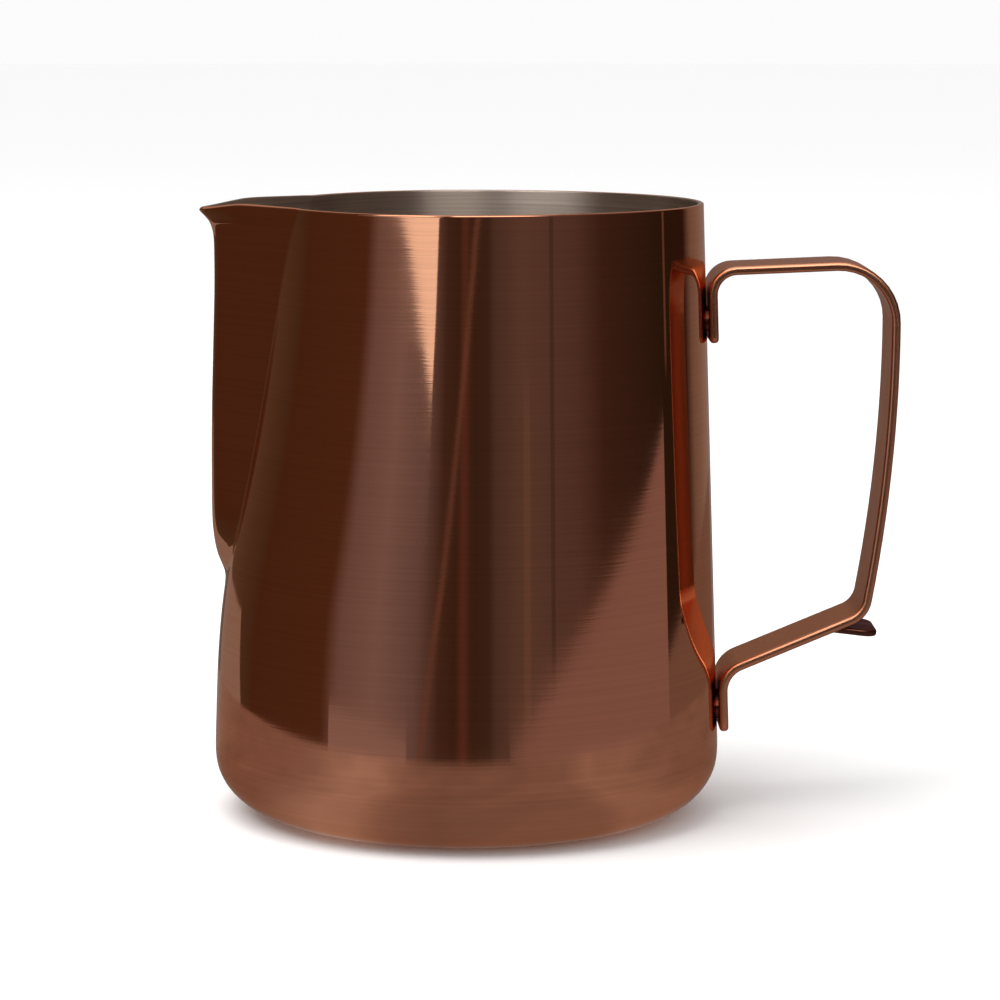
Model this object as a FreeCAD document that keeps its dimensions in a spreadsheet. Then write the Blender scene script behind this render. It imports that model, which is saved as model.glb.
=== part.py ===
import FreeCAD, Part
import Sketcher
import math
import os

# Spouted milk jug, millimetres. Z is up, the foot stands on Z = 0 and the body axis is Z.
# The spout points along -X and the handle along +X.

doc = FreeCAD.newDocument("MilkJug")
origin = FreeCAD.Vector(0, 0, 0)
upwards = FreeCAD.Vector(0, 0, 1)
sidePlane = FreeCAD.Rotation(FreeCAD.Vector(1, 0, 0), 90)

sizes = {
    "jug_height": 110.0,
    "rim_radius": 42.35,
    "foot_radius": 46.1,
    "corner_radius": 11.5,
    "wall": 1.0,
    "rim_outer_round": 0.45,
    "rim_inner_round": 0.3,
    # the body is squeezed flat either side of the spout, from this far below the rim
    "pinch_drop": 83.0,
    "pinch_depth": 8.0,
    "crease_radius": 6.0,
    # spout levels: depth below the rim, how far the ridge stands out from the wall there,
    # how steeply the flanks run back from it and how far back of its centre they end
    "root_drop": 68.0,
    "root_standout": -1.67,
    "root_angle": 70.4,
    "root_run": 0.5,
    "heel_drop": 63.0,
    "heel_standout": 0.85,
    "heel_angle": 70.4,
    "heel_run": 0.1,
    "shin_drop": 57.0,
    "shin_standout": 1.86,
    "shin_angle": 66.3,
    "shin_run": 3.6,
    "low_drop": 44.0,
    "low_standout": 2.27,
    "low_angle": 62.0,
    "low_run": 6.1,
    "middle_drop": 24.0,
    "middle_standout": 2.42,
    "middle_angle": 57.3,
    "middle_run": 8.7,
    "high_drop": 13.0,
    "high_standout": 2.51,
    "high_angle": 55.1,
    "high_run": 10.5,
    "throat_drop": 6.5,
    "throat_standout": 2.78,
    "throat_angle": 53.6,
    "throat_run": 11.9,
    "flare_drop": 3.8,
    "flare_standout": 3.52,
    "flare_angle": 51.8,
    "flare_run": 12.9,
    "beak_drop": 1.7,
    "beak_standout": 5.44,
    "beak_angle": 48.8,
    "beak_run": 16.4,
    "roof_standout": 8.5,
    "roof_angle": 43.7,
    "roof_run": 19.6,
    "ridge_radius": 4.0,
    "beak_radius": 2.8,
    # the top of the beak slopes down from just inside the rim circle
    "droop_inset": 1.85,
    "droop_angle": 11.0,
    # handle: one flat strap, measured along its middle line
    "strap_width": 16.0,
    "strap_thickness": 1.6,
    "strap_edge": 0.7,
    "stand_off": 0.05,
    "upper_pad_drop": 24.8,
    "lower_pad_end": 15.0,
    "arm_drop": 11.83,
    "arm_angle": 2.4,
    "grip_reach": 30.2,
    "grip_drop": 22.0,
    "grip_foot_reach": 25.8,
    "brace_mark_reach": 19.5,
    "brace_mark_height": 33.88,
    "brace_angle": 22.7,
    "upper_root_bend": 4.3,
    "upper_outer_bend": 10.2,
    "lower_outer_bend": 4.8,
    "lower_root_bend": 5.0,
    # finger rest, a tongue that leaves the under side of the brace at its mark
    "rest_length": 8.35,
    "rest_width": 14.0,
    "rest_thickness": 1.2,
    "rest_corner": 3.0,
    "rest_tilt": 6.8,
    # spot welds, a pair side by side on each pad
    "weld_diameter": 4.0,
    "weld_depth_body": 0.5,
    "weld_depth_strap": 0.8,
    "weld_pitch": 7.0,
    "weld_from_end": 3.8,
}
# how far blanks run past the rim before it is cut, and how the squeeze is spread over its height
overRim = 2
pinchSteps = 4
pinchGrowth = 1.3
# tests that pick the long rim and crease edges
sameHeight = 0.01
longShare = 0.7
outerShare = 0.975

sheet = doc.addObject("Spreadsheet::Sheet", "Sizes")
for row, (alias, value) in enumerate(sizes.items(), start=1):
    sheet.set("A%d" % row, alias)
    sheet.set("B%d" % row, str(value))
    sheet.setAlias("B%d" % row, alias)
doc.recompute()

wallTaper = "((Sizes.foot_radius - Sizes.rim_radius) / Sizes.jug_height)"


def wallRadius(height):
    # radius of the straight tapering wall at a height, as a sheet expression
    return "(Sizes.foot_radius - %s * (%s))" % (wallTaper, height)


def put(kind, name, bindings):
    item = doc.addObject(kind, name)
    for prop, formula in bindings.items():
        item.setExpression(prop, formula)
    return item


def boolean(kind, name, base, tool):
    item = doc.addObject("Part::" + kind, name)
    item.Base = base
    item.Tool = tool
    item.Refine = True
    return item


def newSketch(name, rotation=None):
    sketch = doc.addObject("Sketcher::SketchObject", name)
    if rotation is not None:
        sketch.Placement = FreeCAD.Placement(origin, rotation)
    return sketch


def bind(sketch, constraint, name, formula):
    index = sketch.addConstraint(constraint)
    sketch.renameConstraint(index, name)
    sketch.setExpression("Constraints." + name, formula)
    return index


def line(sketch, start, end):
    first = FreeCAD.Vector(start[0], start[1], 0)
    last = FreeCAD.Vector(end[0], end[1], 0)
    return sketch.addGeometry(Part.LineSegment(first, last), False)


def arc(sketch, centre, radius, fromAngle, toAngle):
    circle = Part.Circle(FreeCAD.Vector(centre[0], centre[1], 0), upwards, radius)
    span = Part.ArcOfCircle(circle, math.radians(fromAngle), math.radians(toAngle))
    return sketch.addGeometry(span, False)


def placePoint(sketch, name, element, end, x, y):
    # x and y are sheet expressions for one point of a sketch, measured from its origin
    point = sketch.getPoint(element, end)
    if x is not None:
        bind(sketch, Sketcher.Constraint("DistanceX", -1, 1, element, end, point.x), name + "_x", x)
    if y is not None:
        bind(sketch, Sketcher.Constraint("DistanceY", -1, 1, element, end, point.y), name + "_y", y)


def findEdges(shape, wanted):
    # 1-based numbers of the edges whose middle point passes a test
    found = []
    for number, edge in enumerate(shape.Edges, start=1):
        middle = edge.valueAt((edge.FirstParameter + edge.LastParameter) / 2)
        if wanted(edge, middle):
            found.append(number)
    return found


def bodyBlank(prefix, inset):
    # tapering wall as a cone that runs past the rim, with its foot edge rounded
    shift = "(%s * Sizes.wall)" % inset
    top = "(Sizes.jug_height + %s)" % overRim
    cone = put("Part::Cone", prefix + "_cone", {
        "Radius1": wallRadius(shift) + " - " + shift,
        "Radius2": wallRadius(top) + " - " + shift,
        "Height": top + " - " + shift,
        "Placement.Base.z": shift,
    })
    doc.recompute()
    foot = findEdges(cone.Shape, lambda edge, middle: edge.isClosed() and middle.z < sizes["jug_height"] / 2)
    blank = doc.addObject("Part::Fillet", prefix + "_blank")
    blank.Base = cone
    radius = sizes["corner_radius"] - inset * sizes["wall"]
    blank.Edges = [(number, radius, radius) for number in foot]
    return blank


def pinchedSide(prefix, inset):
    # stack of ellipses, round at the bottom and squeezed towards the rim
    shift = "(%s * Sizes.wall)" % inset
    rings = []
    for step in range(pinchSteps + 2):
        share = step / pinchSteps
        height = "(Sizes.jug_height - Sizes.pinch_drop * %s)" % (1 - share)
        depth = "(Sizes.pinch_depth * %s)" % round(share ** pinchGrowth, 4)
        ring = put("Part::Ellipse", "%s_ring_%d" % (prefix, step), {
            "MajorRadius": wallRadius(height) + " - " + shift,
            "MinorRadius": wallRadius(height) + " - " + shift + " - " + depth,
            "Placement.Base.z": height,
        })
        ring.Placement = FreeCAD.Placement(ring.Placement.Base, FreeCAD.Rotation(upwards, 90))
        rings.append(ring)
    side = doc.addObject("Part::Loft", prefix + "_side")
    side.Sections = rings
    side.Solid = True
    side.Ruled = False
    return side


def flankSection(prefix, level, inset, drop, radius):
    # one level of the spout: two straight flanks meeting in a rounded ridge
    shift = "(%s * Sizes.wall)" % inset
    height = "(Sizes.jug_height - %s)" % drop
    steep = "(Sizes.%s_angle * 1deg)" % level
    centreX = "(Sizes.%s - %s - Sizes.%s_standout)" % (radius, wallRadius(height), level)
    backX = "%s + Sizes.%s_run" % (centreX, level)
    backY = "((Sizes.%s - %s + Sizes.%s_run * sin%s) / cos%s)" % (radius, shift, level, steep, steep)

    # starting shape, close to what the constraints ask for
    angle, run = math.radians(sizes[level + "_angle"]), sizes[level + "_run"]
    ridge = sizes[radius] - inset * sizes["wall"]
    centre = sizes[radius] - sizes["rim_radius"] - sizes[level + "_standout"]
    x, y = centre + run, (ridge + run * math.sin(angle)) / math.cos(angle)
    touch = (centre - ridge * math.sin(angle), ridge * math.cos(angle))
    turn = sizes[level + "_angle"]
    sketch = newSketch("%s_%s" % (prefix, level))
    upper = line(sketch, (x, y), touch)
    nose = arc(sketch, (centre, 0), ridge, 90 + turn, 270 - turn)
    lower = line(sketch, (touch[0], -touch[1]), (x, -y))
    back = line(sketch, (x, -y), (x, y))
    sketch.addConstraint(Sketcher.Constraint("Tangent", upper, 2, nose, 1))
    sketch.addConstraint(Sketcher.Constraint("Tangent", nose, 2, lower, 1))
    sketch.addConstraint(Sketcher.Constraint("Coincident", lower, 2, back, 1))
    sketch.addConstraint(Sketcher.Constraint("Coincident", back, 2, upper, 1))
    placePoint(sketch, "far", upper, 1, backX, backY)
    placePoint(sketch, "near", back, 1, backX, "-" + backY)
    placePoint(sketch, "nose", nose, 3, centreX, "0")
    bind(sketch, Sketcher.Constraint("Radius", nose, ridge), "round", "Sizes.%s - %s" % (radius, shift))
    sketch.setExpression("Placement.Base.z", height)
    return sketch


def spoutBlank(prefix, inset):
    # spout levels from the root, over the heel and up the ridge, to the flared beak
    sections = []
    for level in ("root", "heel", "shin", "low", "middle", "high", "throat", "flare"):
        sections.append(flankSection(prefix, level, inset, "Sizes.%s_drop" % level, "ridge_radius"))
    sections.append(flankSection(prefix, "beak", inset, "Sizes.beak_drop", "beak_radius"))
    sections.append(flankSection(prefix, "roof", inset, -overRim, "beak_radius"))
    spout = doc.addObject("Part::Loft", prefix + "_spout")
    spout.Sections = sections
    spout.Solid = True
    spout.Ruled = False
    return spout


def jugSolid(prefix, inset):
    blank = bodyBlank(prefix, inset)
    side = pinchedSide(prefix, inset)
    spout = spoutBlank(prefix, inset)
    half = put("Part::Box", prefix + "_half", {
        "Length": "Sizes.foot_radius * 2",
        "Width": "Sizes.foot_radius * 4",
        "Height": "Sizes.pinch_drop + %s" % overRim,
        "Placement.Base.x": "-Sizes.foot_radius * 2",
        "Placement.Base.y": "-Sizes.foot_radius * 2",
        "Placement.Base.z": "Sizes.jug_height - Sizes.pinch_drop",
    })
    rest = boolean("Cut", prefix + "_round_part", blank, half)
    pinched = boolean("Common", prefix + "_pinched_part", side, half)
    body = boolean("Fuse", prefix + "_body", rest, pinched)
    return boolean("Fuse", prefix + "_whole", body, spout)


def creased(name, base, radius):
    # soft hollow where each spout flank runs into the squeezed body
    def wanted(edge, middle):
        onFlank = abs(middle.y) > sizes["ridge_radius"] and middle.x < -sizes["rim_radius"] * longShare
        return onFlank and edge.Length > sizes["root_drop"] / 2 and middle.z < sizes["jug_height"]
    doc.recompute()
    soft = doc.addObject("Part::Fillet", name)
    soft.Base = base
    soft.Edges = [(number, radius, radius) for number in findEdges(base.Shape, wanted)]
    return soft


outerJug = creased("outer_creased", jugSolid("outer", 0), sizes["crease_radius"])
innerJug = jugSolid("inner", 1)

# everything above the rim, with the top of the beak sloping down towards its tip
above = newSketch("above_rim", sidePlane)
rimZ = sizes["jug_height"]
roofZ = rimZ + sizes["foot_radius"]
farX = sizes["foot_radius"] * 2
droopX = sizes["rim_radius"] - sizes["droop_inset"]
lowZ = rimZ - math.tan(math.radians(sizes["droop_angle"])) * (farX - droopX)
corners = [(-droopX, rimZ), (farX, rimZ), (farX, roofZ), (-farX, roofZ), (-farX, lowZ)]
far = "Sizes.foot_radius * 2"
droop = "(Sizes.rim_radius - Sizes.droop_inset)"
places = [
    ("-" + droop, "Sizes.jug_height"),
    (far, "Sizes.jug_height"),
    (far, "Sizes.jug_height + Sizes.foot_radius"),
    ("-" + far, "Sizes.jug_height + Sizes.foot_radius"),
    ("-" + far, "Sizes.jug_height - tan(Sizes.droop_angle * 1deg) * (%s - %s)" % (far, droop)),
]
for number, corner in enumerate(corners):
    line(above, corner, corners[(number + 1) % len(corners)])
for number, (x, y) in enumerate(places):
    above.addConstraint(Sketcher.Constraint("Coincident", number, 2, (number + 1) % len(corners), 1))
    placePoint(above, "corner%d" % number, number, 1, x, y)
trimmer = put("Part::Extrusion", "rim_trimmer", {"LengthFwd": "Sizes.foot_radius * 4"})
trimmer.Base = above
trimmer.DirMode = "Normal"
trimmer.Symmetric = True
trimmer.Solid = True

shell = boolean("Cut", "shell", outerJug, innerJug)
trimmed = boolean("Cut", "trimmed_shell", shell, trimmer)


def rimEdges(name, base, radius, outside):
    # rounds the long outer or inner edges of the rim, away from the spout
    def wanted(edge, middle):
        onRim = abs(middle.z - sizes["jug_height"]) < sameHeight
        if not onRim or edge.Length < sizes["rim_radius"] * longShare:
            return False
        across = sizes["rim_radius"] - (sizes["pinch_depth"] if middle.x < 0 else 0)
        share = (middle.x / across) ** 2 + (middle.y / sizes["rim_radius"]) ** 2
        return (share > outerShare) == outside
    doc.recompute()
    rounded = doc.addObject("Part::Fillet", name)
    rounded.Base = base
    rounded.Edges = [(number, radius, radius) for number in findEdges(base.Shape, wanted)]
    return rounded


softOutside = rimEdges("rim_outside", trimmed, sizes["rim_outer_round"], True)
softRim = rimEdges("rim_inside", softOutside, sizes["rim_inner_round"], False)


# handle strap: a rounded flat section swept along a path of straights and bends
taperAngle = "atan((Sizes.foot_radius - Sizes.rim_radius) / Sizes.jug_height)"
padOffset = "(Sizes.stand_off + Sizes.strap_thickness / 2) / cos(" + taperAngle + ")"


def padX(height):
    # middle of a pad lying along the wall at a height
    return wallRadius(height) + " + " + padOffset


def wallAt(height):
    share = (sizes["foot_radius"] - sizes["rim_radius"]) / sizes["jug_height"]
    return sizes["foot_radius"] - share * height


def crossing(first, firstAngle, second, secondAngle):
    # where two lines given by a point and a heading cross
    ax, az = math.cos(math.radians(firstAngle)), math.sin(math.radians(firstAngle))
    bx, bz = math.cos(math.radians(secondAngle)), math.sin(math.radians(secondAngle))
    along = ((second[0] - first[0]) * bz - (second[1] - first[1]) * bx) / (ax * bz - az * bx)
    return (first[0] + ax * along, first[1] + az * along)


def bend(before, corner, after, radius):
    # start, centre and end of the arc that rounds one corner of the path
    inX, inZ = before[0] - corner[0], before[1] - corner[1]
    outX, outZ = after[0] - corner[0], after[1] - corner[1]
    inLong, outLong = math.hypot(inX, inZ), math.hypot(outX, outZ)
    inX, inZ, outX, outZ = inX / inLong, inZ / inLong, outX / outLong, outZ / outLong
    half = math.acos(inX * outX + inZ * outZ) / 2
    reach = radius / math.tan(half)
    toCentre = radius / math.sin(half) / math.hypot(inX + outX, inZ + outZ)
    start = (corner[0] + inX * reach, corner[1] + inZ * reach)
    end = (corner[0] + outX * reach, corner[1] + outZ * reach)
    centre = (corner[0] + (inX + outX) * toCentre, corner[1] + (inZ + outZ) * toCentre)
    return start, centre, end


def bendArc(sketch, start, centre, end, turn):
    # adds the arc from start to end; turn is 1 for anticlockwise and -1 for clockwise
    radius = math.hypot(start[0] - centre[0], start[1] - centre[1])
    startAngle = math.degrees(math.atan2(start[1] - centre[1], start[0] - centre[0]))
    endAngle = math.degrees(math.atan2(end[1] - centre[1], end[0] - centre[0]))
    low, high = (startAngle, endAngle) if turn > 0 else (endAngle, startAngle)
    return arc(sketch, centre, radius, low, high if high > low else high + 360)


# starting shape of the path, worked out from the same sizes
taper = math.degrees(math.atan((sizes["foot_radius"] - sizes["rim_radius"]) / sizes["jug_height"]))
offset = sizes["stand_off"] + sizes["strap_thickness"] / 2
upperZ = sizes["jug_height"] - sizes["upper_pad_drop"]
upperEnd = (wallAt(upperZ) + offset, upperZ)
lowerEnd = (wallAt(sizes["lower_pad_end"]) + offset, sizes["lower_pad_end"])
gripTop = (sizes["foot_radius"] + sizes["grip_reach"], sizes["jug_height"] - sizes["grip_drop"])
braceMark = (sizes["foot_radius"] + sizes["brace_mark_reach"], sizes["brace_mark_height"])
armRoot = (upperEnd[0] + sizes["upper_root_bend"], sizes["jug_height"] - sizes["arm_drop"])
gripFoot = (sizes["foot_radius"] + sizes["grip_foot_reach"], braceMark[1] + sizes["lower_outer_bend"])
gripFall, gripInset = gripTop[1] - gripFoot[1], gripTop[0] - gripFoot[0]
gripRadius = (gripFall ** 2 + gripInset ** 2) / (2 * gripInset)
gripCentre = (gripTop[0] - gripRadius, gripTop[1])
footHeading = 90 - math.degrees(math.asin(gripFall / gripRadius))
upperCorner = crossing(upperEnd, 90 + taper, armRoot, sizes["arm_angle"])
armCorner = crossing(armRoot, sizes["arm_angle"], gripTop, 90)
braceCorner = crossing(braceMark, sizes["brace_angle"], gripFoot, footHeading)
lowerCorner = crossing(braceMark, sizes["brace_angle"], lowerEnd, 90 + taper)
rootStart, rootCentre, rootEnd = bend(upperEnd, upperCorner, armCorner, sizes["upper_root_bend"])
armStart, armCentre, armEnd = bend(upperCorner, armCorner, (armCorner[0], 0), sizes["upper_outer_bend"])
outStart, outCentre, outEnd = bend(gripFoot, braceCorner, lowerCorner, sizes["lower_outer_bend"])
inStart, inCentre, inEnd = bend(braceCorner, lowerCorner, lowerEnd, sizes["lower_root_bend"])

path = newSketch("strap_path", sidePlane)
padLine = line(path, upperEnd, rootStart)
rootArc = bendArc(path, rootStart, rootCentre, rootEnd, -1)
armLine = line(path, rootEnd, armStart)
armArc = bendArc(path, armStart, armCentre, armEnd, -1)
gripArc = bendArc(path, armEnd, gripCentre, outStart, -1)
outArc = bendArc(path, outStart, outCentre, outEnd, -1)
braceLine = line(path, outEnd, inStart)
inArc = bendArc(path, inStart, inCentre, inEnd, 1)
lowLine = line(path, inEnd, lowerEnd)
topMark = path.addGeometry(Part.Point(FreeCAD.Vector(gripTop[0], gripTop[1], 0)), True)
lowMark = path.addGeometry(Part.Point(FreeCAD.Vector(braceMark[0], braceMark[1], 0)), True)
# clockwise arcs are stored backwards, so their second end comes first along the path
for first, firstEnd, second, secondEnd in (
        (padLine, 2, rootArc, 2), (rootArc, 1, armLine, 1),
        (armLine, 2, armArc, 2), (armArc, 1, gripArc, 2),
        (gripArc, 1, outArc, 2), (outArc, 1, braceLine, 1),
        (braceLine, 2, inArc, 1), (inArc, 2, lowLine, 1)):
    path.addConstraint(Sketcher.Constraint("Tangent", first, firstEnd, second, secondEnd))
path.addConstraint(Sketcher.Constraint("PointOnObject", topMark, 1, gripArc))
path.addConstraint(Sketcher.Constraint("PointOnObject", lowMark, 1, braceLine))
for element, alias in ((rootArc, "upper_root_bend"), (armArc, "upper_outer_bend"),
                       (outArc, "lower_outer_bend"), (inArc, "lower_root_bend")):
    bind(path, Sketcher.Constraint("Radius", element, sizes[alias]), alias, "Sizes." + alias)
upperPadEnd = "(Sizes.jug_height - Sizes.upper_pad_drop)"
gripHeight = "Sizes.jug_height - Sizes.grip_drop"
placePoint(path, "upper_end", padLine, 1, padX(upperPadEnd), upperPadEnd)
placePoint(path, "lower_end", lowLine, 2, padX("Sizes.lower_pad_end"), "Sizes.lower_pad_end")
placePoint(path, "arm_root", armLine, 1, None, "Sizes.jug_height - Sizes.arm_drop")
placePoint(path, "grip_centre", gripArc, 3, None, gripHeight)
placePoint(path, "grip_top", topMark, 1, "Sizes.foot_radius + Sizes.grip_reach", gripHeight)
placePoint(path, "grip_foot", gripArc, 1, "Sizes.foot_radius + Sizes.grip_foot_reach", None)
markReach = "Sizes.foot_radius + Sizes.brace_mark_reach"
placePoint(path, "brace_mark", lowMark, 1, markReach, "Sizes.brace_mark_height")
for element, name, angle, formula in (
        (armLine, "arm", sizes["arm_angle"], "Sizes.arm_angle * 1deg"),
        (braceLine, "brace", 180 + sizes["brace_angle"], "(180 + Sizes.brace_angle) * 1deg"),
        (padLine, "upper_pad", 90 + taper, "90deg + " + taperAngle),
        (lowLine, "lower_pad", 270 + taper, "270deg + " + taperAngle)):
    bind(path, Sketcher.Constraint("Angle", element, math.radians(angle)), name, formula)

section = newSketch("strap_section")
halfT, halfW, edge = sizes["strap_thickness"] / 2, sizes["strap_width"] / 2, sizes["strap_edge"]
sides = [
    line(section, (-halfT + edge, -halfW), (halfT - edge, -halfW)),
    line(section, (halfT, -halfW + edge), (halfT, halfW - edge)),
    line(section, (halfT - edge, halfW), (-halfT + edge, halfW)),
    line(section, (-halfT, halfW - edge), (-halfT, -halfW + edge)),
]
rounds = [
    arc(section, (halfT - edge, -halfW + edge), edge, -90, 0),
    arc(section, (halfT - edge, halfW - edge), edge, 0, 90),
    arc(section, (-halfT + edge, halfW - edge), edge, 90, 180),
    arc(section, (-halfT + edge, -halfW + edge), edge, 180, 270),
]
for number, side in enumerate(sides):
    section.addConstraint(Sketcher.Constraint("Tangent", side, 2, rounds[number], 1))
    section.addConstraint(Sketcher.Constraint("Tangent", rounds[number], 2, sides[(number + 1) % 4], 1))
    section.addConstraint(Sketcher.Constraint("Vertical" if number % 2 else "Horizontal", side))
for number in (1, 2, 3):
    section.addConstraint(Sketcher.Constraint("Equal", rounds[0], rounds[number]))
bind(section, Sketcher.Constraint("Radius", rounds[0], edge), "edge", "Sizes.strap_edge")
placePoint(section, "right", sides[1], 1, "Sizes.strap_thickness / 2", None)
placePoint(section, "left", sides[3], 1, "-Sizes.strap_thickness / 2", None)
placePoint(section, "top", sides[2], 1, None, "Sizes.strap_width / 2")
placePoint(section, "bottom", sides[0], 1, None, "-Sizes.strap_width / 2")
section.setExpression("Placement.Base.x", padX(upperPadEnd))
section.setExpression("Placement.Base.z", upperPadEnd)
section.Placement = FreeCAD.Placement(
    section.Placement.Base, FreeCAD.Rotation(FreeCAD.Vector(0, -1, 0), taper))

strap = doc.addObject("Part::Sweep", "strap")
strap.Sections = [section]
strap.Spine = (path, ["Edge%d" % number for number in range(1, 10)])
strap.Solid = True
strap.Frenet = False
strap.Transition = "Right corner"

# finger rest: a thin tongue with a rounded end, cut to sit flush on the strap
plan = newSketch("rest_plan")
tip, corner, halfRest = sizes["rest_length"], sizes["rest_corner"], sizes["rest_width"] / 2
outline = [
    line(plan, (0, -halfRest), (tip - corner, -halfRest)),
    arc(plan, (tip - corner, -halfRest + corner), corner, -90, 0),
    line(plan, (tip, -halfRest + corner), (tip, halfRest - corner)),
    arc(plan, (tip - corner, halfRest - corner), corner, 0, 90),
    line(plan, (tip - corner, halfRest), (0, halfRest)),
    line(plan, (0, halfRest), (0, -halfRest)),
]
for number in range(4):
    plan.addConstraint(Sketcher.Constraint("Tangent", outline[number], 2, outline[number + 1], 1))
plan.addConstraint(Sketcher.Constraint("Coincident", outline[4], 2, outline[5], 1))
plan.addConstraint(Sketcher.Constraint("Coincident", outline[5], 2, outline[0], 1))
plan.addConstraint(Sketcher.Constraint("Vertical", outline[2]))
plan.addConstraint(Sketcher.Constraint("Equal", outline[1], outline[3]))
bind(plan, Sketcher.Constraint("Radius", outline[1], corner), "corner", "Sizes.rest_corner")
placePoint(plan, "near", outline[0], 1, "0", "-Sizes.rest_width / 2")
placePoint(plan, "far", outline[4], 2, "0", "Sizes.rest_width / 2")
placePoint(plan, "tip", outline[2], 1, "Sizes.rest_length", None)
plan.setExpression("Placement.Base.x", "Sizes.foot_radius + Sizes.brace_mark_reach")
plan.setExpression(
    "Placement.Base.z",
    "Sizes.brace_mark_height - Sizes.strap_thickness / 2 / cos(Sizes.brace_angle * 1deg)")
plan.Placement = FreeCAD.Placement(
    plan.Placement.Base, FreeCAD.Rotation(FreeCAD.Vector(0, 1, 0), sizes["rest_tilt"]))
tongue = put("Part::Extrusion", "tongue", {"LengthFwd": "Sizes.rest_thickness"})
tongue.Base = plan
tongue.DirMode = "Normal"
tongue.Solid = True


def spotWelds(name, height):
    # two nuggets side by side, each sunk partly into the wall and partly into the pad
    nuggets = []
    for number, side in enumerate(("-", "")):
        nugget = put("Part::Cylinder", "%s_%d" % (name, number + 1), {
            "Radius": "Sizes.weld_diameter / 2",
            "Height": "Sizes.weld_depth_body + Sizes.stand_off + Sizes.weld_depth_strap",
            "Placement.Base.x": wallRadius(height) + " - Sizes.weld_depth_body",
            "Placement.Base.y": side + "Sizes.weld_pitch / 2",
            "Placement.Base.z": height,
        })
        nugget.Placement = FreeCAD.Placement(
            nugget.Placement.Base, FreeCAD.Rotation(FreeCAD.Vector(0, 1, 0), 90))
        nuggets.append(nugget)
    pair = doc.addObject("Part::Compound", name)
    pair.Links = nuggets
    return pair


upperWelds = spotWelds("upper_spot_welds", "(%s + Sizes.weld_from_end)" % upperPadEnd)
lowerWelds = spotWelds("lower_spot_welds", "(Sizes.lower_pad_end + Sizes.weld_from_end)")
welds = doc.addObject("Part::Compound", "all_welds")
welds.Links = [upperWelds, lowerWelds]

vessel = boolean("Cut", "vessel_body", softRim, welds)
handle = boolean("Cut", "handle_strap", strap, welds)
fingerRest = boolean("Cut", "finger_rest", tongue, strap)

nodes = [vessel, handle, fingerRest, upperWelds, lowerWelds]
doc.recompute()

for item in doc.Objects:
    if "Invalid" in item.State or "Error" in item.State:
        raise RuntimeError("%s did not compute" % item.Name)
    if hasattr(item, "Shape") and (item.Shape.isNull() or not item.Shape.isValid()):
        raise RuntimeError("%s has a bad shape" % item.Name)

os.makedirs("parts", exist_ok=True)
for node in nodes:
    node.Label = node.Name
    node.Shape.exportStep("parts/%s.step" % node.Name)
    print(node.Label, len(node.Shape.Solids), "solids", round(node.Shape.Volume, 1), "mm3")
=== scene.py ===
import math

import bmesh
import bpy
from mathutils import Matrix, Vector


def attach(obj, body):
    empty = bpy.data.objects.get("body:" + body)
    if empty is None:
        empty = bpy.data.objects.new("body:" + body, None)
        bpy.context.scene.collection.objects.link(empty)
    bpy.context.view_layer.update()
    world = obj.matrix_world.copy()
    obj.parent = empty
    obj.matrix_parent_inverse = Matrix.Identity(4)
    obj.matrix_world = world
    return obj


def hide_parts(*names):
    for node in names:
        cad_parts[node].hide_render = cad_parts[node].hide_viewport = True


# Milk frothing jug in copper-coated steel. Metres, Z up, spout along -X, handle along +X.

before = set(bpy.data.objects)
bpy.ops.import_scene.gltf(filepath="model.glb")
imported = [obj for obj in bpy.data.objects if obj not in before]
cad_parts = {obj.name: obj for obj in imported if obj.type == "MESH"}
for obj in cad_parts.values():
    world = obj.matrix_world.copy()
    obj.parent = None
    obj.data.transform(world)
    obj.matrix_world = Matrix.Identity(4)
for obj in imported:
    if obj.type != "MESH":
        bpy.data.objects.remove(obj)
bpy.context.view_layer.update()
print("frame loaded")

mm = 0.001


def newObject(name, mesh, materials, node=None):
    item = bpy.data.objects.new(name, mesh)
    bpy.context.scene.collection.objects.link(item)
    for material in materials:
        mesh.materials.append(material)
    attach(item, "root")
    if node:
        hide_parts(node)
    return item


def meshFrom(bm, name):
    mesh = bpy.data.meshes.new(name)
    bm.to_mesh(mesh)
    bm.free()
    mesh.shade_smooth()
    return mesh


def startMaterial(name, look):
    material = bpy.data.materials.new(name)
    material.use_nodes = True
    nodes = material.node_tree.nodes
    shader = nodes["Principled BSDF"]
    shader.inputs["Base Color"].default_value = (*look["colour"], 1)
    shader.inputs["Metallic"].default_value = 1
    shader.inputs["Roughness"].default_value = look["roughness"]
    shader.inputs["Anisotropic"].default_value = look["anisotropy"]
    shader.inputs["Specular Tint"].default_value = (*look["edgeTint"], 1)
    return material, nodes, material.node_tree.links, shader


def stretchedNoise(nodes, links, scale, detail, uv=None):
    # noise drawn out into fine lines: across the lines where the scale is high
    if uv:
        place = nodes.new("ShaderNodeUVMap")
        place.uv_map = uv
        source = place.outputs["UV"]
    else:
        place = nodes.new("ShaderNodeTexCoord")
        source = place.outputs["Object"]
    mapping = nodes.new("ShaderNodeMapping")
    mapping.inputs["Scale"].default_value = scale
    noise = nodes.new("ShaderNodeTexNoise")
    noise.inputs["Scale"].default_value = 1
    noise.inputs["Detail"].default_value = detail
    links.new(source, mapping.inputs["Vector"])
    links.new(mapping.outputs["Vector"], noise.inputs["Vector"])
    return noise.outputs["Fac"]


noiseMiddle = (0.3, 0.7)  # where most of a noise lies


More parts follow.
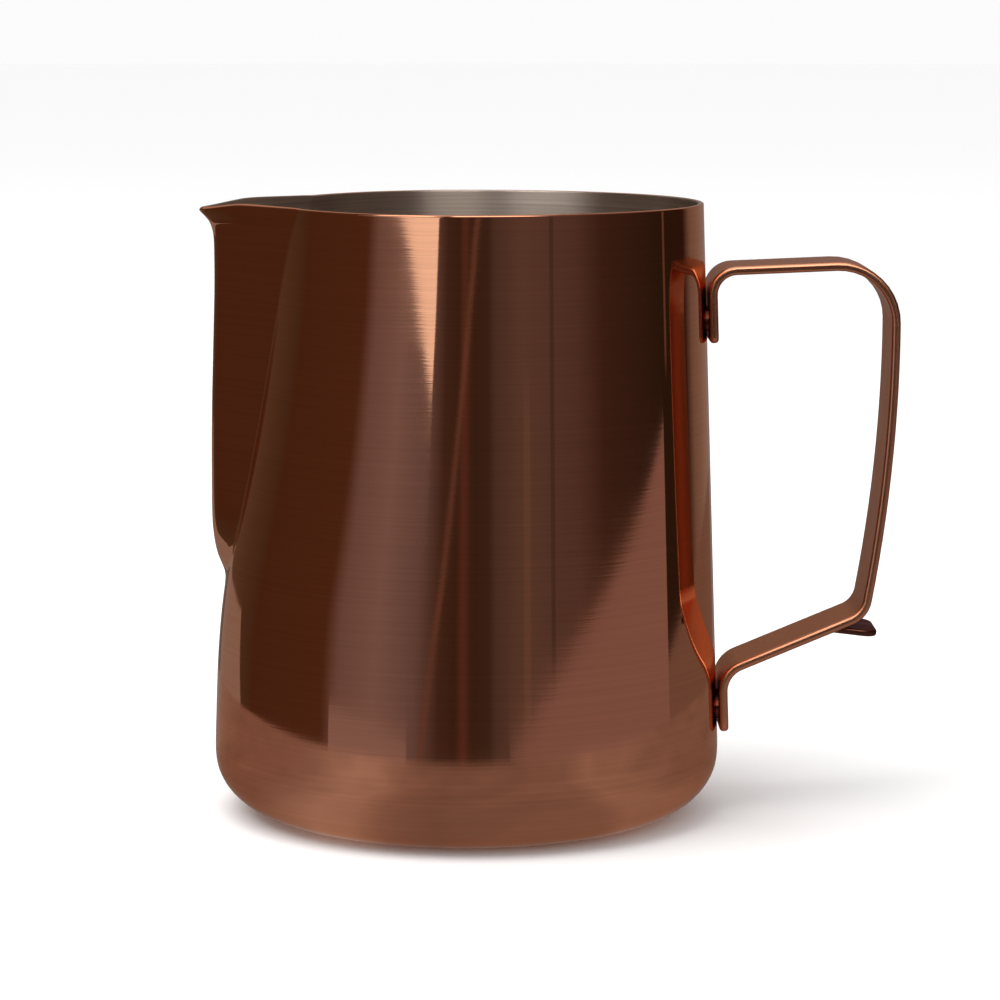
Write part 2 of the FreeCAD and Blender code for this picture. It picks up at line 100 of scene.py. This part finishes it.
def remap(nodes, links, value, low, high):
    # spreads the middle of a noise over a range
    ranged = nodes.new("ShaderNodeMapRange")
    ranged.inputs["From Min"].default_value = noiseMiddle[0]
    ranged.inputs["From Max"].default_value = noiseMiddle[1]
    ranged.inputs["To Min"].default_value = low
    ranged.inputs["To Max"].default_value = high
    links.new(value, ranged.inputs["Value"])
    return ranged.outputs["Result"]


lineDetail = 3
cloudDetail = 4
lineHeight = 0.5 * mm


def brushedMetal(name, look):
    # metal with fine lines: they change the tone, the roughness and, a little, the surface
    material, nodes, links, shader = startMaterial(name, look)
    lines = stretchedNoise(nodes, links, look["lineScale"], lineDetail, look.get("lineMap"))
    clouds = stretchedNoise(nodes, links, look["cloudScale"], cloudDetail)
    darker = [part * (1 - look["toneChange"]) for part in look["colour"]]
    lighter = [min(part * (1 + look["toneChange"]), 1) for part in look["colour"]]
    tint = nodes.new("ShaderNodeMix")
    tint.data_type = "RGBA"
    tint.inputs["A"].default_value = (*darker, 1)
    tint.inputs["B"].default_value = (*lighter, 1)
    links.new(remap(nodes, links, lines, 0, 1), tint.inputs["Factor"])
    links.new(tint.outputs["Result"], shader.inputs["Base Color"])
    spread = look["roughness"] * look["roughChange"]
    rough = remap(nodes, links, clouds, look["roughness"] - spread, look["roughness"] + spread)
    links.new(rough, shader.inputs["Roughness"])
    bump = nodes.new("ShaderNodeBump")
    bump.inputs["Strength"].default_value = look["lineDepth"]
    bump.inputs["Distance"].default_value = lineHeight
    links.new(lines, bump.inputs["Height"])
    links.new(bump.outputs["Normal"], shader.inputs["Normal"])
    if look.get("tangentMap"):
        tangent = nodes.new("ShaderNodeTangent")
        tangent.direction_type = "UV_MAP"
        tangent.uv_map = look["tangentMap"]
        links.new(tangent.outputs["Tangent"], shader.inputs["Tangent"])
    return material


copperLook = {
    "colour": (0.81, 0.385, 0.235),
    "edgeTint": (0.95, 0.75, 0.62),
    "roughness": 0.045,
    "anisotropy": 0.85,
    "lineScale": (14, 14, 3000),
    "cloudScale": (30, 30, 60),
    "toneChange": 0.05,
    "roughChange": 0.3,
    "lineDepth": 0.004,
    "tangentMap": "around",
}
steelLook = {
    "colour": (0.60, 0.54, 0.49),
    "edgeTint": (0.9, 0.85, 0.8),
    "roughness": 0.4,
    "anisotropy": 0.9,
    "lineScale": (20, 20, 2400),
    "cloudScale": (40, 40, 90),
    "toneChange": 0.16,
    "roughChange": 0.15,
    "lineDepth": 0.06,
    "tangentMap": "around",
}
satinLook = {
    "colour": (0.76, 0.38, 0.235),
    "edgeTint": (0.84, 0.55, 0.42),
    "roughness": 0.25,
    "anisotropy": 0.4,
    "lineScale": (5, 420, 1),
    "lineMap": "grain",
    "cloudScale": (120, 120, 120),
    "toneChange": 0.07,
    "roughChange": 0.12,
    "lineDepth": 0.05,
    "tangentMap": "grain",
}
# copper darkened with painted shade, for the finger rest under the strap and for the welds between
# the pads and the body
paintedShadeLook = {
    "colour": (0.17, 0.07, 0.05),
    "edgeTint": (0.45, 0.33, 0.34),
    "roughness": 0.3,
    "anisotropy": 0.0,
    "lineScale": (60, 900, 60),
    "cloudScale": (400, 400, 400),
    "toneChange": 0.15,
    "roughChange": 0.25,
    "lineDepth": 0.04,
}

copperMirror = brushedMetal("copperMirror", copperLook)
insideSteel = brushedMetal("insideSteel", steelLook)
copperSatin = brushedMetal("copperSatin", satinLook)
# the copper with painted shade
copperPaintedShade = brushedMetal("copperPaintedShade", paintedShadeLook)
print("materials made")

# the pieces' own sizes are in millimetres and degrees
vessel = {
    "height": 110.0,
    "rimRadius": 42.35,
    "footRadius": 46.1,
    "cornerAcross": 12.6,
    "cornerUp": 11.0,
    "wall": 1.0,
    "rimCrease": 0.35,
    "footTop": 20,  # the wall below this is left round
    "droopStart": 40.5,  # the beak's top falls from this far in front of the axis
    "droopSlope": 0.19,
    "slopeFrom": 100,  # the rows above this lean with the beak's top
    "beakStart": 103.5,
    "ridgeRadius": 4.0,
    "beakRadius": 2.8,
    "creaseWidth": 0.45,  # how softly a flank runs into the body
    "creaseLeast": 11.5,  # the crease columns stay at least this many degrees from the front
    "creaseFade": 150,  # how fast a flank drops away past the crease
    "creaseFar": 0.6,  # radians past the crease at which it stops
    "ridgeMost": 0.9,  # the ridge round's largest share of the spout's length
}
# how far the spout ridge reaches from the axis at each height
ridgeReach = ((42, 43.0), (47, 45.35), (53, 46.15), (66, 46.12), (86, 45.6), (97, 45.3),
              (103.5, 45.35), (106.2, 46.0), (108.3, 47.85), (112, 51.5))
# how far round from the front the flanks meet the body, in degrees, at each height
creaseAngle = ((43, 2.5), (45, 7.5), (50, 12.4), (58, 14.6), (68, 17.5), (75, 19.8), (82, 22.1),
               (93.5, 26.6), (101, 30.7), (110, 37.3))
# how deep the body is squeezed in at the front, at each height
squeeze = ((27, 0), (35, 0.38), (42.4, 1.1), (50, 2.3), (58, 3.6), (68, 4.95), (82, 6.45),
           (96, 7.5), (110, 8.0))
spoutRoot = 43.2  # height of the foot of the spout


def smoothRead(table, at):
    # reads a table with a smooth curve through its points
    xs = [x for x, y in table]
    ys = [y for x, y in table]
    at = min(max(at, xs[0]), xs[-1])
    slopes = [(ys[n + 1] - ys[n]) / (xs[n + 1] - xs[n]) for n in range(len(xs) - 1)]
    ends = [slopes[0]]
    for before, after in zip(slopes, slopes[1:]):
        ends.append(0 if before * after <= 0 else 2 * before * after / (before + after))
    ends.append(slopes[-1])
    n = max(i for i in range(len(xs) - 1) if xs[i] <= at)
    span = xs[n + 1] - xs[n]
    t = (at - xs[n]) / span
    return ((1 + 2 * t) * (1 - t) ** 2 * ys[n] + t * (1 - t) ** 2 * span * ends[n]
            + t * t * (3 - 2 * t) * ys[n + 1] + t * t * (t - 1) * span * ends[n + 1])


def wallAt(z):
    v = vessel
    return v["footRadius"] - (v["footRadius"] - v["rimRadius"]) * z / v["height"]


def wedgeReach(away, z):
    # the spout alone, along a ray away from -X: a rounded ridge, then straight flanks to the crease
    v = vessel
    if z < spoutRoot:
        return 0
    mix = min(max((z - v["beakStart"]) / (v["height"] - v["beakStart"]), 0), 1)
    crease = math.radians(smoothRead(creaseAngle, z))
    depth = bodyReach(crease, z)
    backX, backY = depth * math.cos(crease), depth * math.sin(crease)
    ridge = v["ridgeRadius"] + (v["beakRadius"] - v["ridgeRadius"]) * mix
    centre = smoothRead(ridgeReach, z) - ridge
    long = math.hypot(centre - backX, backY)
    ridge = min(ridge, v["ridgeMost"] * long)
    centre = smoothRead(ridgeReach, z) - ridge
    heading = math.atan2(backY, centre - backX) - math.asin(min(ridge / long, 1))
    acrossX, acrossY = math.sin(heading), math.cos(heading)
    ux, uy = math.cos(away), math.sin(away)
    if away < math.atan2(ridge * acrossY, centre + ridge * acrossX):
        return centre * ux + math.sqrt(max(ridge ** 2 - (centre * uy) ** 2, 0))
    past = max(away - crease, 0)
    if past > v["creaseFar"]:
        return 0
    flank = (centre * acrossX + ridge) / (acrossX * ux + acrossY * uy)
    return flank - v["creaseFade"] * past ** 2


def bodyReach(away, z):
    v = vessel
    radius = wallAt(z)
    if away >= math.pi / 2:
        return radius
    depth = radius - smoothRead(squeeze, z)
    return 1 / math.hypot(math.cos(away) / depth, math.sin(away) / radius)


def reachAt(away, z):
    # body and spout together, with a soft crease between them
    body, spout = bodyReach(away, z), wedgeReach(away, z)
    width = vessel["creaseWidth"]
    near = max(width - abs(body - spout), 0) / width
    return max(body, spout) + near ** 3 * width / 6  # a cubic blend, level at both ends


# mesh columns from the ridge to the back: shares of the ridge, of the flank, degrees either side of
# the crease, then shares of the way round the body
ridgeColumns = (0, 0.35, 0.7, 1, 1.35)
flankColumns = (0.22, 0.42, 0.62, 0.8)
creaseColumns = (-2.2, -1, -0.35, 0.35, 1, 2.2, 4.5)
bodyColumns = 34
ridgeTouch = 6.0  # degrees from the front to where the ridge meets its flank


def columnAngles(z):
    crease = max(smoothRead(creaseAngle, z), vessel["creaseLeast"])
    start, stop = ridgeTouch * ridgeColumns[-1], crease + creaseColumns[0]
    angles = [ridgeTouch * share for share in ridgeColumns]
    angles += [start + (stop - start) * share for share in flankColumns]
    angles += [crease + step for step in creaseColumns]
    first = angles[-1]
    for n in range(1, bodyColumns + 1):
        angles.append(first + (180 - first) * (n / bodyColumns))
    return [math.radians(angle) for angle in angles]


# radii of the mesh rings across the base, then heights of the rows up the wall, close together at
# the spout root and the lip
baseRings = (0, 10, 20, 28, 31.5)
cornerSteps = 9
wallRows = (11.5, 15, 20, 25, 29, 33, 36.5, 39.5, 41.7, 43.5, 45.2, 47, 49, 52, 56, 61, 67, 74, 81,
            88, 94, 98.5, 101.5, 103.6, 105.1, 106.3, 107.3, 108.2, 109, 109.6, 110)


def footProfile():
    # flat base, rounded corner and wall, from the axis outwards and up
    v = vessel
    points = [(ring, 0) for ring in baseRings]
    inner = wallAt(v["cornerUp"]) - v["cornerAcross"]
    for n in range(cornerSteps):
        angle = math.pi / 2 * n / cornerSteps
        across, up = v["cornerAcross"] * math.sin(angle), v["cornerUp"] * (1 - math.cos(angle))
        points.append((inner + across, up))
    points += [(wallAt(z), z) for z in wallRows]
    return points


def rimHeight(x):
    # the rim is level but for the beak, whose top falls towards its tip
    return vessel["height"] - max(0, -x - vessel["droopStart"]) * vessel["droopSlope"]


tiny = 0.01  # millimetres
settleRounds = 4
smoothLevels = 2


def buildVessel():
    v = vessel
    bm = bmesh.new()
    steps = 2 * (len(columnAngles(0)) - 1)
    chain = [bm.verts.new((-x * mm, 0, z * mm)) for x, z in footProfile()]
    edges = [bm.edges.new(pair) for pair in zip(chain, chain[1:])]
    bmesh.ops.spin(bm, geom=chain + edges, cent=(0, 0, 0), axis=(0, 0, 1), dvec=(0, 0, 0),
                   angle=math.tau, steps=steps, use_merge=True, use_duplicate=False)
    bmesh.ops.remove_doubles(bm, verts=bm.verts, dist=tiny * mm)
    for vert in bm.verts:
        x, y, z = (c / mm for c in vert.co)
        out = math.hypot(x, y)
        if out < tiny:
            continue
        column = round(math.atan2(abs(y), -x) / math.tau * steps)
        side = 1 if y > 0 else -1
        level, wide = z, out
        for settle in range(settleRounds):  # the beak's height and reach are found together
            turn = columnAngles(z)[column]
            wide = reachAt(turn, z) if level > v["footTop"] else out
            x, y = -math.cos(turn) * wide, math.sin(turn) * wide * side
            if level > v["slopeFrom"]:
                share = (level - v["slopeFrom"]) / (v["height"] - v["slopeFrom"])
                z = v["slopeFrom"] + share * (rimHeight(x) - v["slopeFrom"])
        vert.co = Vector((x, y, z)) * mm
    bmesh.ops.recalc_face_normals(bm, faces=bm.faces)
    if min(bm.faces, key=lambda face: face.calc_center_median().z).normal.z > 0:
        bmesh.ops.reverse_faces(bm, faces=bm.faces)
    around = bm.loops.layers.uv.new("around")
    for face in bm.faces:
        angles = []
        for loop in face.loops:
            x, y, z = loop.vert.co
            angles.append(math.atan2(y, x))
        for loop, angle in zip(face.loops, angles):
            if max(angles) - min(angles) > math.pi and angle < 0:
                angle += math.tau
            loop[around].uv = (loop.vert.co.z / (v["height"] * mm), angle / math.tau)
    item = newObject("jugBody", meshFrom(bm, "jugBody"), [copperMirror, insideSteel],
                     "vessel_body")
    wall = item.modifiers.new("wall", "SOLIDIFY")
    wall.thickness = v["wall"] * mm
    wall.offset = -1
    wall.use_even_offset = True
    wall.material_offset = 1
    wall.edge_crease_rim = v["rimCrease"]
    soft = item.modifiers.new("soft", "SUBSURF")
    soft.levels = soft.render_levels = smoothLevels
    print("jug body", len(item.data.vertices), "points")


buildVessel()

strap = {
    "width": 16.0,
    "thickness": 1.6,
    "edgeRound": 0.62,
    "cornerRound": 1.3,
    "start": (44.05, 85.2),
    "heading": 91.95,
    "step": 4,  # longest mesh step
    "bendSteps": 10,  # fewest steps in a bend
    "roundSteps": 4,
}
# the strap from its upper pad to its lower pad: straight runs, and bends that turn right or left
# with a radius and an angle
strapRuns = (
    ("run", 8.53), ("right", 4.3, 89.55), ("run", 17.82), ("right", 10.2, 92.25),
    ("right", 276.3, 10.4), ("right", 4.8, 57.06), ("run", 21.43), ("left", 5.0, 69.25),
    ("run", 7.27),
)
sharpEdge = math.radians(60)  # edges this sharp are rounded
flatWeight = 60
grainUnit = 100  # millimetres to one unit of the grain map


def buildStrap():
    s = strap
    bm = bmesh.new()
    along = bm.verts.layers.float.new("along")
    x, z = s["start"]
    heading, length = math.radians(s["heading"]), 0
    acrossX, acrossZ = math.sin(heading), -math.cos(heading)
    corners = []
    for t, y in ((-1, -1), (1, -1), (1, 1), (-1, 1)):
        reach = t * s["thickness"] / 2
        place = Vector((x + acrossX * reach, y * s["width"] / 2, z + acrossZ * reach)) * mm
        corners.append(bm.verts.new(place))
    face = bm.faces.new(corners)

    def grow(face):
        made = bmesh.ops.extrude_face_region(bm, geom=[face])["geom"]
        if len(bm.faces) > 6:  # the first face stays as the end of the strap
            bmesh.ops.delete(bm, geom=[face], context="FACES_ONLY")
        return next(item for item in made if isinstance(item, bmesh.types.BMFace))

    for step in strapRuns:
        if step[0] == "run":
            parts = max(1, round(step[1] / s["step"]))
            for part in range(parts):
                face = grow(face)
                move = Vector((math.cos(heading), 0, math.sin(heading))) * step[1] / parts
                bmesh.ops.translate(bm, verts=face.verts, vec=move * mm)
                x, z, length = x + move.x, z + move.z, length + step[1] / parts
                for vert in face.verts:
                    vert[along] = length
            continue
        side = 1 if step[0] == "right" else -1
        radius, turn = step[1], math.radians(step[2])
        centreX = x + math.sin(heading) * radius * side
        centre = Vector((centreX, 0, z - math.cos(heading) * radius * side))
        parts = max(s["bendSteps"], round(radius * turn / s["step"]))
        for part in range(parts):
            face = grow(face)
            bmesh.ops.rotate(bm, verts=face.verts, cent=centre * mm,
                             matrix=Matrix.Rotation(side * turn / parts, 3, "Y"))
            length += radius * turn / parts
            for vert in face.verts:
                vert[along] = length
        heading -= side * turn
        x = centre.x - math.sin(heading) * radius * side
        z = centre.z + math.cos(heading) * radius * side
    print("strap ends at", round(x, 2), round(z, 2), "length", round(length, 2))

    endArea, slack = s["thickness"] * s["width"] * mm ** 2, 0.1 * mm ** 2
    ends = [edge for edge in bm.edges if abs(edge.calc_length() - s["thickness"] * mm) < tiny * mm
            and any(abs(face.calc_area() - endArea) < slack for face in edge.link_faces)]
    bmesh.ops.bevel(bm, geom=ends, offset=s["cornerRound"] * mm, offset_type="OFFSET",
                    segments=s["roundSteps"], profile=0.5, affect="EDGES", material=-1,
                    clamp_overlap=True)
    rims = [edge for edge in bm.edges
            if len(edge.link_faces) == 2 and edge.calc_face_angle() > sharpEdge]
    bmesh.ops.bevel(bm, geom=rims, offset=s["edgeRound"] * mm, offset_type="OFFSET",
                    segments=s["roundSteps"], profile=0.5, affect="EDGES", material=-1,
                    clamp_overlap=True)
    bmesh.ops.recalc_face_normals(bm, faces=bm.faces)
    grain = bm.loops.layers.uv.new("grain")
    for face in bm.faces:
        for loop in face.loops:
            loop[grain].uv = (loop.vert[along] / grainUnit, loop.vert.co.y / (grainUnit * mm))
    item = newObject("handleStrap", meshFrom(bm, "handleStrap"), [copperSatin],
                     "handle_strap")
    flat = item.modifiers.new("flat", "WEIGHTED_NORMAL")
    flat.weight = flatWeight


buildStrap()

rest = {
    "length": 8.35,
    "width": 14.0,
    "thickness": 1.2,
    "cornerRound": 3.0,
    "edgeRound": 0.4,
    "root": (65.6, 33.01),
    "tilt": 6.8,
    "cornerSteps": 8,
    "edgeSteps": 4,
}


def buildRest():
    r = rest
    bm = bmesh.new()
    bmesh.ops.create_cube(bm, size=1)
    bmesh.ops.translate(bm, verts=bm.verts, vec=(0.5, 0, 0.5))
    bmesh.ops.scale(bm, verts=bm.verts, vec=Vector((r["length"], r["width"], r["thickness"])) * mm)
    tip = [edge for edge in bm.edges if all(vert.co.x > r["length"] / 2 * mm for vert in edge.verts)
           and abs(edge.verts[0].co.z - edge.verts[1].co.z) > r["thickness"] / 2 * mm]
    bmesh.ops.bevel(bm, geom=tip, offset=r["cornerRound"] * mm, offset_type="OFFSET",
                    segments=r["cornerSteps"], profile=0.5, affect="EDGES", material=-1,
                    clamp_overlap=True)
    rims = [edge for edge in bm.edges if edge.calc_face_angle() > sharpEdge]
    bmesh.ops.bevel(bm, geom=rims, offset=r["edgeRound"] * mm, offset_type="OFFSET",
                    segments=r["edgeSteps"], profile=0.5, affect="EDGES", material=-1,
                    clamp_overlap=True)
    bmesh.ops.rotate(bm, verts=bm.verts, cent=(0, 0, 0),
                     matrix=Matrix.Rotation(math.radians(r["tilt"]), 3, "Y"))
    bmesh.ops.translate(bm, verts=bm.verts, vec=Vector((r["root"][0], 0, r["root"][1])) * mm)
    bmesh.ops.recalc_face_normals(bm, faces=bm.faces)
    # the rest takes the copper darkened with painted shade, as it lies under the strap
    item = newObject("fingerRest", meshFrom(bm, "fingerRest"), [copperPaintedShade],
                     "finger_rest")
    flat = item.modifiers.new("flat", "WEIGHTED_NORMAL")
    flat.weight = flatWeight
    print("finger rest", len(item.data.vertices), "points")


buildRest()

view = {
    "place": (0, -0.650, 0.1454),
    "lookDown": 0.135,  # radians
    "sensor": 36,
    "lens": 130.68,
    "shift": (0.0334, -0.0053),
    "clip": (0.01, 30),
}
camera = bpy.data.objects.new("camera", bpy.data.cameras.new("camera"))
bpy.context.scene.collection.objects.link(camera)
camera.location = view["place"]
camera.rotation_euler = (math.pi / 2 - view["lookDown"], 0, 0)
camera.data.sensor_width = view["sensor"]
camera.data.lens = view["lens"]
camera.data.shift_x, camera.data.shift_y = view["shift"]
camera.data.clip_start, camera.data.clip_end = view["clip"]
bpy.context.scene.camera = camera
print("camera placed")


def stageObject(name, mesh, material):
    item = bpy.data.objects.new(name, mesh)
    bpy.context.scene.collection.objects.link(item)
    mesh.materials.append(material)
    return item


def onlyReflected(item):
    item.visible_camera = False
    item.visible_diffuse = False
    item.visible_shadow = False
    item.visible_transmission = False
    item.visible_volume_scatter = False


def glowing(name):
    material = bpy.data.materials.new(name)
    material.use_nodes = True
    nodes = material.node_tree.nodes
    nodes.clear()
    out = nodes.new("ShaderNodeOutputMaterial")
    glow = nodes.new("ShaderNodeEmission")
    material.node_tree.links.new(glow.outputs["Emission"], out.inputs["Surface"])
    return material, nodes, material.node_tree.links, glow


# the studio is a round wall and a table top, in metres, that only reflections see
studio = {
    "radius": 1.5,
    "low": -1.7,
    "middle": 0.7,
    "high": 3.6,
    "segments": 96,
    "tableRadius": 0.165,
    "stoneScale": (28, 28, 28),
    "stoneDetail": 6,
    "stoneTones": (0.86, 1.1),
    "cardAway": 1.4,
    "cardCuts": 9,
}
# tones of the studio round the jug: degrees from the camera towards +X, then the tone
studioTones = (
    (-180, (0.25, 0.24, 0.23)), (-170, (0.20, 0.19, 0.18)), (-156, (0.12, 0.09, 0.07)),
    (-119, (0.07, 0.045, 0.03)), (-114, (0.07, 0.035, 0.02)), (-68, (0.08, 0.04, 0.022)),
    (-60, (0.16, 0.13, 0.14)), (-42, (0.20, 0.18, 0.20)), (-24, (0.14, 0.12, 0.14)),
    (-13, (0.06, 0.04, 0.03)), (-5, (0.045, 0.03, 0.02)), (-2, (0.10, 0.05, 0.04)),
    (2, (0.045, 0.03, 0.02)), (10, (0.05, 0.035, 0.03)), (13, (0.08, 0.065, 0.06)),
    (26, (0.11, 0.09, 0.085)), (52, (0.09, 0.065, 0.065)), (66, (0.05, 0.03, 0.025)),
    (104, (0.025, 0.018, 0.012)), (126, (0.03, 0.015, 0.01)), (134, (0.18, 0.155, 0.15)),
    (152, (0.26, 0.24, 0.24)), (166, (0.27, 0.25, 0.25)), (180, (0.25, 0.24, 0.23)),
)
# the same above the jug, and on the table close round it
upperTones = (
    (-180, (0.60, 0.50, 0.46)), (-145, (0.45, 0.37, 0.34)), (-120, (0.14, 0.09, 0.07)),
    (-72, (0.12, 0.08, 0.06)), (-66, (2.6, 2.35, 2.15)), (-28, (2.6, 2.35, 2.15)),
    (-23, (0.28, 0.20, 0.17)), (-13, (0.28, 0.20, 0.17)), (-9, (2.6, 2.4, 2.2)),
    (2, (2.2, 2.0, 1.8)), (34, (2.2, 1.9, 1.75)), (42, (0.2, 0.14, 0.11)),
    (75, (0.14, 0.09, 0.07)), (125, (0.14, 0.09, 0.07)), (150, (0.45, 0.37, 0.34)),
    (180, (0.60, 0.50, 0.46)),
)
tableTones = (
    (-180, (0.27, 0.25, 0.25)), (-140, (0.29, 0.26, 0.26)), (-105, (0.23, 0.17, 0.155)),
    (-72, (0.24, 0.18, 0.165)), (-56, (0.30, 0.25, 0.24)), (-42, (0.40, 0.34, 0.33)),
    (-32, (0.37, 0.31, 0.29)), (-22, (0.26, 0.205, 0.19)), (-8, (0.21, 0.165, 0.155)),
    (12, (0.22, 0.175, 0.16)), (36, (0.24, 0.19, 0.175)), (46, (0.31, 0.25, 0.23)),
    (64, (0.28, 0.225, 0.21)), (84, (0.23, 0.18, 0.165)), (130, (0.22, 0.18, 0.165)),
    (180, (0.27, 0.25, 0.25)),
)


def toneRound(nodes, links, glow, tones):
    # colours an emission by the direction from the jug, from a list of degrees and tones
    place = nodes.new("ShaderNodeTexCoord")
    split = nodes.new("ShaderNodeSeparateXYZ")
    links.new(place.outputs["Object"], split.inputs[0])
    front = nodes.new("ShaderNodeMath")
    front.operation = "MULTIPLY"
    front.inputs[1].default_value = -1
    links.new(split.outputs["Y"], front.inputs[0])
    turn = nodes.new("ShaderNodeMath")
    turn.operation = "ARCTAN2"
    links.new(split.outputs["X"], turn.inputs[0])
    links.new(front.outputs[0], turn.inputs[1])
    share = nodes.new("ShaderNodeMapRange")
    share.inputs["From Min"].default_value = -math.pi
    share.inputs["From Max"].default_value = math.pi
    links.new(turn.outputs[0], share.inputs["Value"])
    ramp = nodes.new("ShaderNodeValToRGB")
    stops = ramp.color_ramp.elements
    for number, (angle, tone) in enumerate(tones):
        spot = (angle + 180) / 360
        if number < 2:  # a new ramp has two stops
            stop = stops[number]
            stop.position = spot
        else:
            stop = stops.new(spot)
        stop.color = (*tone, 1)
    links.new(share.outputs[0], ramp.inputs["Fac"])
    links.new(ramp.outputs["Color"], glow.inputs["Color"])
    return ramp


def buildWall(name, radius, low, high, tones):
    bm = bmesh.new()
    bmesh.ops.create_cone(bm, cap_ends=False, segments=studio["segments"], radius1=radius,
                          radius2=radius, depth=high - low)
    bmesh.ops.translate(bm, verts=bm.verts, vec=(0, 0, (low + high) / 2))
    material, nodes, links, glow = glowing(name)
    toneRound(nodes, links, glow, tones)
    onlyReflected(stageObject(name, meshFrom(bm, name), material))


def buildTable():
    # a stone top seen only in the jug's foot, with faint clouding
    bm = bmesh.new()
    bmesh.ops.create_circle(bm, cap_ends=True, segments=studio["segments"],
                            radius=studio["tableRadius"])
    material, nodes, links, glow = glowing("tableSheen")
    ramp = toneRound(nodes, links, glow, tableTones)
    stone = stretchedNoise(nodes, links, studio["stoneScale"], studio["stoneDetail"])
    clouds = remap(nodes, links, stone, *studio["stoneTones"])
    blend = nodes.new("ShaderNodeMix")
    blend.data_type = "RGBA"
    blend.blend_type = "MULTIPLY"
    blend.inputs["Factor"].default_value = 1
    links.new(ramp.outputs["Color"], blend.inputs["A"])
    links.new(clouds, blend.inputs["B"])
    links.new(blend.outputs["Result"], glow.inputs["Color"])
    onlyReflected(stageObject("tableSheen", meshFrom(bm, "tableSheen"), material))


# panels round the jug: for the bottom left, bottom right, top right and top left corners, degrees
# from the camera towards +X and height in metres; then the tone
cards = {
    "window": (((-22, 0.037), (-21, 0.037), (-15.5, 0.25), (-78, 0.25)), (1.05, 1.10, 1.07)),
    "orangeStreak": (((-22.5, -0.18), (-20, -0.18), (13, 0.2), (10.4, 0.2)), (0.135, 0.085, 0.072)),
    "rightStreak": (((25, -0.3), (28, -0.3), (29, 0.02), (26, 0.02)), (0.135, 0.105, 0.095)),
    "darkStreak": (((38, -0.2), (40, -0.2), (41, 0.2), (39, 0.2)), (0.07, 0.055, 0.05)),
    "edgeLine": (((106, 0.0), (107.6, 0.0), (107.6, 0.25), (106, 0.25)), (0.12, 0.08, 0.06)),
    "lowRight": (((10, -0.5), (104, -0.5), (104, -0.03), (19, -0.175)), (0.235, 0.18, 0.185)),
    "lowFarRight": (((104, -0.5), (160, -0.5), (160, -0.1), (104, -0.16)), (0.18, 0.14, 0.13)),
    "lowBackLeft": (((-158, -0.5), (-112, -0.5), (-130, -0.07), (-158, -0.07)), (0.27, 0.26, 0.27)),
    "lowLeft": (((-64, -0.5), (-14, -0.5), (-27, -0.165), (-64, -0.15)), (0.26, 0.225, 0.245)),
}


def buildCard(name):
    (lowLeft, lowRight, highRight, highLeft), tone = cards[name]
    away = studio["cardAway"]
    bm = bmesh.new()
    bmesh.ops.create_grid(bm, x_segments=1, y_segments=1, size=1)
    for vert in bm.verts:
        if vert.co.y > 0:
            degrees, height = highRight if vert.co.x > 0 else highLeft
        else:
            degrees, height = lowRight if vert.co.x > 0 else lowLeft
        angle = math.radians(degrees)
        vert.co = Vector((math.sin(angle) * away, -math.cos(angle) * away, height))
    bmesh.ops.subdivide_edges(bm, edges=bm.edges, cuts=studio["cardCuts"], use_grid_fill=True)
    for vert in bm.verts:  # bent round the jug
        out = away / math.hypot(vert.co.x, vert.co.y)
        vert.co.x, vert.co.y = vert.co.x * out, vert.co.y * out
    material, nodes, links, glow = glowing(name)
    glow.inputs["Color"].default_value = (*tone, 1)
    onlyReflected(stageObject(name, meshFrom(bm, name), material))


buildWall("studioWall", studio["radius"], studio["low"], studio["middle"], studioTones)
buildWall("upperWall", studio["radius"], studio["middle"], studio["high"], upperTones)
buildTable()
for name in cards:
    buildCard(name)
print("studio built")

room = {
    "floorRadius": 8,
    "floorColour": (0.98, 0.98, 0.98),
    "floorRoughness": 0.8,
    "sky": 0.97,
    "lampSize": 1.2,
    "lampWatts": 14,
    "lampPlace": (-0.5, -0.3, 1.3),
    "lampTarget": (0, 0, 0.05),
}
bm = bmesh.new()
bmesh.ops.create_circle(bm, cap_ends=True, segments=studio["segments"], radius=room["floorRadius"])
paper = bpy.data.materials.new("paper")
paper.use_nodes = True
paperShader = paper.node_tree.nodes["Principled BSDF"]
paperShader.inputs["Base Color"].default_value = (*room["floorColour"], 1)
paperShader.inputs["Roughness"].default_value = room["floorRoughness"]
floor = stageObject("floor", meshFrom(bm, "floor"), paper)
floor.visible_glossy = False

world = bpy.data.worlds.new("studio")
bpy.context.scene.world = world
world.use_nodes = True
sky = world.node_tree.nodes["Background"]
sky.inputs["Color"].default_value = (1, 1, 1, 1)
sky.inputs["Strength"].default_value = room["sky"]

lamp = bpy.data.objects.new("softbox", bpy.data.lights.new("softbox", "AREA"))
bpy.context.scene.collection.objects.link(lamp)
lamp.data.shape = "RECTANGLE"
lamp.data.size = lamp.data.size_y = room["lampSize"]
lamp.data.energy = room["lampWatts"]
lamp.location = room["lampPlace"]
lampAim = Vector(room["lampTarget"]) - lamp.location
lamp.rotation_euler = lampAim.to_track_quat("-Z", "Y").to_euler()
lamp.visible_glossy = False
bpy.context.scene.view_settings.view_transform = "Standard"
print("floor and lamp made")

# the weld nuggets keep their own shape and take the copper darkened with painted shade
for name in ("upper_spot_welds", "lower_spot_welds"):
    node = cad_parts[name]
    node.data.materials.clear()
    node.data.materials.append(copperPaintedShade)
